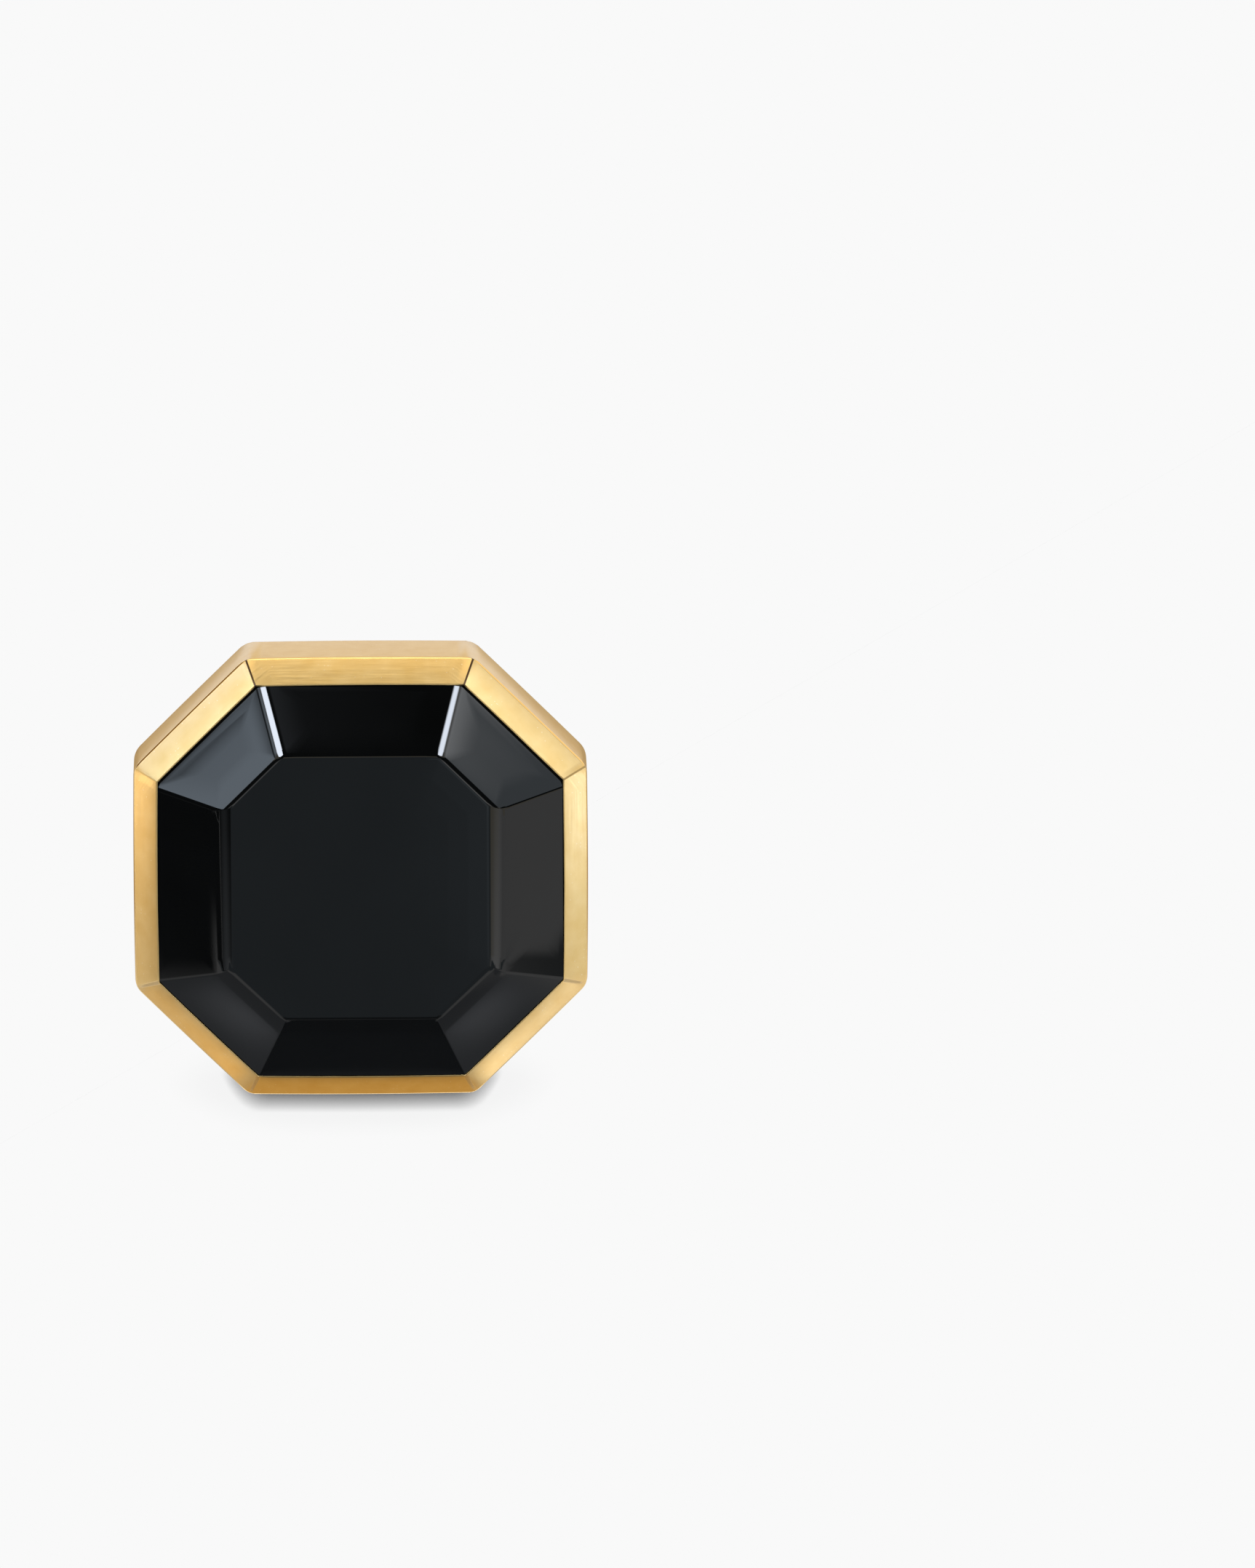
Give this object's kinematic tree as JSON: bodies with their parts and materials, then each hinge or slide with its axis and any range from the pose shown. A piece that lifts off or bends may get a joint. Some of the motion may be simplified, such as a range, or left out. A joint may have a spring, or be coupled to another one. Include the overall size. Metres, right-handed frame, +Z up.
{
  "type": "cufflink",
  "caption": "Octagonal cufflink: faceted black onyx in a satin gold bezel, on a U-shaped post with a swivelling torpedo toggle that clicks open and across",
  "frame": {"origin": "On the surface that the cufflink rests on, under the middle of its overall box", "axes": "+Z is up, +X is to the right as one looks at the stone, and +Y runs from the stone to the toggle's tip. The face leans back by 18.65 degrees, as the cufflink rests on its bezel's rear lower edge and its toggle's tip"},
  "size_m": [0.016, 0.0236, 0.0159],
  "materials": {
    "satin_gold": "satin",
    "polished_gold": "polished",
    "black_onyx": "polished",
    "setting_cement": "matte",
    "bush_brass": "satin",
    "spring_steel": "satin"
  },
  "bodies": {
    "head": {"bezel": "satin_gold", "onyx_stone": "black_onyx", "stone_seat": "polished_gold", "setting_cement": "setting_cement", "back_plate": "satin_gold", "post_foot": "polished_gold", "post_yoke": "polished_gold", "pivot_pin": "polished_gold"},
    "toggle": {"toggle_barrel": "polished_gold", "front_cap": "polished_gold", "rear_cap": "polished_gold", "upper_bush": "bush_brass", "lower_bush": "bush_brass", "detent_spring": "spring_steel"},
    "plunger": {"detent_plunger": "bush_brass"}
  },
  "joints": [
    {"name": "toggle_swing", "type": "hinge", "parent": "head", "child": "toggle", "pos_m": [0, 0.00462, 0.00393], "axis": [0, 0.3198, 0.9475], "continuous": true},
    {"name": "plunger_slide", "type": "slide", "parent": "toggle", "child": "plunger", "axis": [0, 0.9475, -0.3198], "range_m": [-0.0001, 0.0003], "stiffness_N_per_m": 800, "springref_m": -0.0008, "deforming": ["detent_spring"]}
  ]
}
